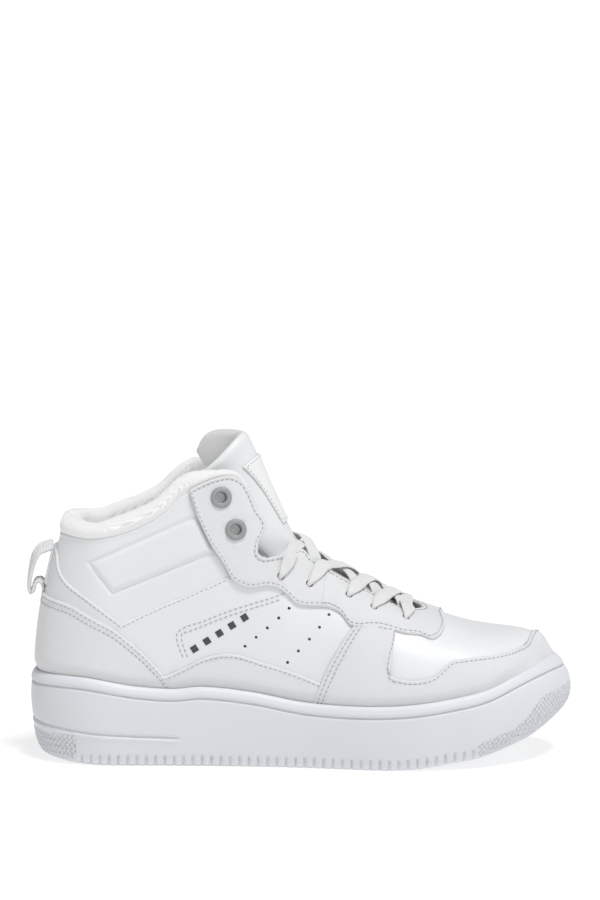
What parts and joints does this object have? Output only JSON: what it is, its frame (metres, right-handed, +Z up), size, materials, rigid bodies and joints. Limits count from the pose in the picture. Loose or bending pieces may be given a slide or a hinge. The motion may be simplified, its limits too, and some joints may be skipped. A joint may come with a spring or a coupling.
{
  "type": "basketball high top",
  "caption": "White leather high-top basketball shoe with a rubber cupsole, padded collar, laced throat, padded tongue and a heel pull loop; right foot.",
  "frame": {"origin": "on the ground, under the middle of the shoe's bounding box", "axes": "+X to the toe, -Y to the outer (lateral) side, +Z up"},
  "size_m": [0.276, 0.102, 0.1667],
  "materials": {
    "sole_rubber": "matte, slightly cool white",
    "smooth_leather": "satin, fine grain",
    "pebbled_leather": "satin, pebbled grain",
    "label_leather": "satin, plain",
    "collar_mesh": "spacer mesh",
    "tongue_mesh": "grey mesh",
    "lining_cloth": "plain textile",
    "sockliner_cloth": "plain textile",
    "lace_cotton": "flat woven",
    "webbing": "ribbed webbing",
    "eyelet_metal": "satin grey",
    "stiffener": "thermoplastic sheet",
    "board": "fibre board",
    "padding": "open-cell foam",
    "wedge_foam": "EVA foam"
  },
  "bodies": {
    "shoe": {"cupsole": "sole_rubber", "midsole_wedge": "wedge_foam", "insole_board": "board", "sockliner": "sockliner_cloth", "heel_stiffener": "stiffener", "toe_puff": "stiffener", "vamp": "smooth_leather", "mudguard": "pebbled_leather", "lateral_quarter": "smooth_leather", "medial_quarter": "smooth_leather", "lateral_lower_overlay": "pebbled_leather", "medial_lower_overlay": "pebbled_leather", "lateral_collar_panel": "smooth_leather", "medial_collar_panel": "smooth_leather", "heel_counter_cover": "pebbled_leather", "heel_strap": "pebbled_leather", "backstay": "pebbled_leather", "lateral_eyestay": "pebbled_leather", "medial_eyestay": "pebbled_leather", "front_eyestay": "pebbled_leather", "collar_foam": "padding", "collar_lining": "collar_mesh", "upper_lining": "lining_cloth", "vamp_lining": "lining_cloth", "lateral_eyelets": "eyelet_metal", "medial_eyelets": "eyelet_metal", "lateral_eyelet_washers": "eyelet_metal", "medial_eyelet_washers": "eyelet_metal", "tongue_lower": "smooth_leather", "shoelace": "lace_cotton", "loop_anchor": "webbing"},
    "tongue_top": {"tongue_top": "smooth_leather", "tongue_foam": "padding", "tongue_lining": "tongue_mesh", "tongue_label": "label_leather"},
    "pull_loop": {"pull_loop": "webbing"}
  },
  "joints": [
    {"name": "tongue_tilt", "type": "hinge", "parent": "shoe", "child": "tongue_top", "pos_m": [-0.0047, 0, 0.1159], "axis": [0, 1, 0], "range_deg": [-2, 14], "stiffness_Nm_per_rad": 0.2},
    {"name": "loop_flex", "type": "hinge", "parent": "shoe", "child": "pull_loop", "pos_m": [-0.1326, 0, 0.0959], "axis": [0.218, 0, 0.976], "range_deg": [-15, 15], "stiffness_Nm_per_rad": 0.01}
  ]
}
